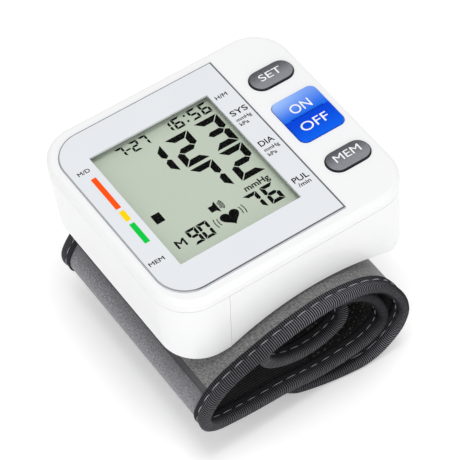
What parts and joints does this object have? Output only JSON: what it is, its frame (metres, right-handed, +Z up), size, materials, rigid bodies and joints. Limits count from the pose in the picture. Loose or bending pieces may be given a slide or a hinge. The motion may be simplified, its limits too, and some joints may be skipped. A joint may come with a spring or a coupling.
{
  "type": "wrist blood pressure monitor",
  "caption": "Battery-powered wrist blood pressure monitor: display case with push buttons, air pump and valve inside, on a rolled fabric cuff with an air bladder.",
  "frame": {"origin": "middle of the whole object's footprint, on the surface it stands on", "axes": "+Z up out of the display, +X to the reader's right along the display's text, +Y towards the top of the display's text"},
  "size_m": [0.078, 0.0784, 0.0609],
  "materials": {
    "white_plastic": "glossy white moulded ABS",
    "silver_print": "cool silver-grey print under a clear gloss",
    "clear_acrylic": "clear acrylic window",
    "display_glass": "grey-green reflective display",
    "black_plastic": "satin black",
    "grey_plastic": "satin grey",
    "circuit_board": "green solder mask",
    "dark_button": "dark grey metallic lacquer",
    "blue_button": "glossy blue",
    "steel": "bright plated steel",
    "brass": "plated spring brass",
    "silicone": "translucent white silicone",
    "cell_jacket": "printed shrink jacket over a metal can",
    "grey_fabric": "heathered mid-grey woven nylon",
    "charcoal_tape": "ribbed charcoal binding tape with light stitches",
    "black_lining": "near-black ribbed lining and loop pile",
    "bladder_film": "welded soft film"
  },
  "bodies": {
    "housing": {"top_cover": "white_plastic", "lower_case": "white_plastic", "battery_tray": "white_plastic", "face_panel": "silver_print", "display_window": "clear_acrylic", "display_cell": "display_glass", "display_frame": "black_plastic", "set_switch": "black_plastic", "power_switch": "black_plastic", "memory_switch": "black_plastic", "control_chip": "black_plastic", "sounder": "black_plastic", "pump_head": "black_plastic", "cuff_bow": "black_plastic", "near_contact_strip": "grey_plastic", "far_contact_strip": "grey_plastic", "pressure_sensor": "grey_plastic", "air_manifold": "grey_plastic", "main_board": "circuit_board", "pump_motor": "steel", "release_valve": "steel", "battery_spring_1": "steel", "battery_spring_2": "steel", "case_screw_1": "steel", "case_screw_2": "steel", "case_screw_3": "steel", "case_screw_4": "steel", "board_screw_1": "steel", "board_screw_2": "steel", "cuff_screw_1": "steel", "cuff_screw_2": "steel", "cuff_screw_3": "steel", "cuff_screw_4": "steel", "battery_plate_1": "brass", "battery_plate_2": "brass", "pump_tube": "silicone", "sensor_tube": "silicone", "valve_tube": "silicone", "cuff_tube": "silicone", "battery_1": "cell_jacket", "battery_2": "cell_jacket", "cuff_fabric": "grey_fabric", "front_binding": "charcoal_tape", "rear_binding": "charcoal_tape", "cuff_lining": "black_lining", "hook_patch": "black_lining", "loop_patch": "black_lining", "air_bladder": "bladder_film"},
    "battery_door": {"battery_cover": "white_plastic"},
    "set_key": {"set_button": "dark_button"},
    "power_key": {"power_button": "blue_button"},
    "memory_key": {"memory_button": "dark_button"},
    "rotor": {"pump_rotor": "steel"},
    "plunger": {"valve_plunger": "steel"}
  },
  "joints": [
    {"name": "battery_cover_slide", "type": "slide", "parent": "housing", "child": "battery_door", "axis": [-1, 0, 0], "range_m": [0, 0.025]},
    {"name": "set_press", "type": "slide", "parent": "housing", "child": "set_key", "axis": [0, 0, -1], "range_m": [0, 0.0005], "stiffness_N_per_m": 400},
    {"name": "power_press", "type": "slide", "parent": "housing", "child": "power_key", "axis": [0, 0, -1], "range_m": [0, 0.0005], "stiffness_N_per_m": 400},
    {"name": "memory_press", "type": "slide", "parent": "housing", "child": "memory_key", "axis": [0, 0, -1], "range_m": [0, 0.0005], "stiffness_N_per_m": 400},
    {"name": "pump_spin", "type": "hinge", "parent": "housing", "child": "rotor", "pos_m": [0.02398, 0.0039, 0.04565], "axis": [0, 1, 0], "continuous": true},
    {"name": "valve_stroke", "type": "slide", "parent": "housing", "child": "plunger", "axis": [0, 1, 0], "range_m": [0, 0.0006], "stiffness_N_per_m": 300}
  ]
}
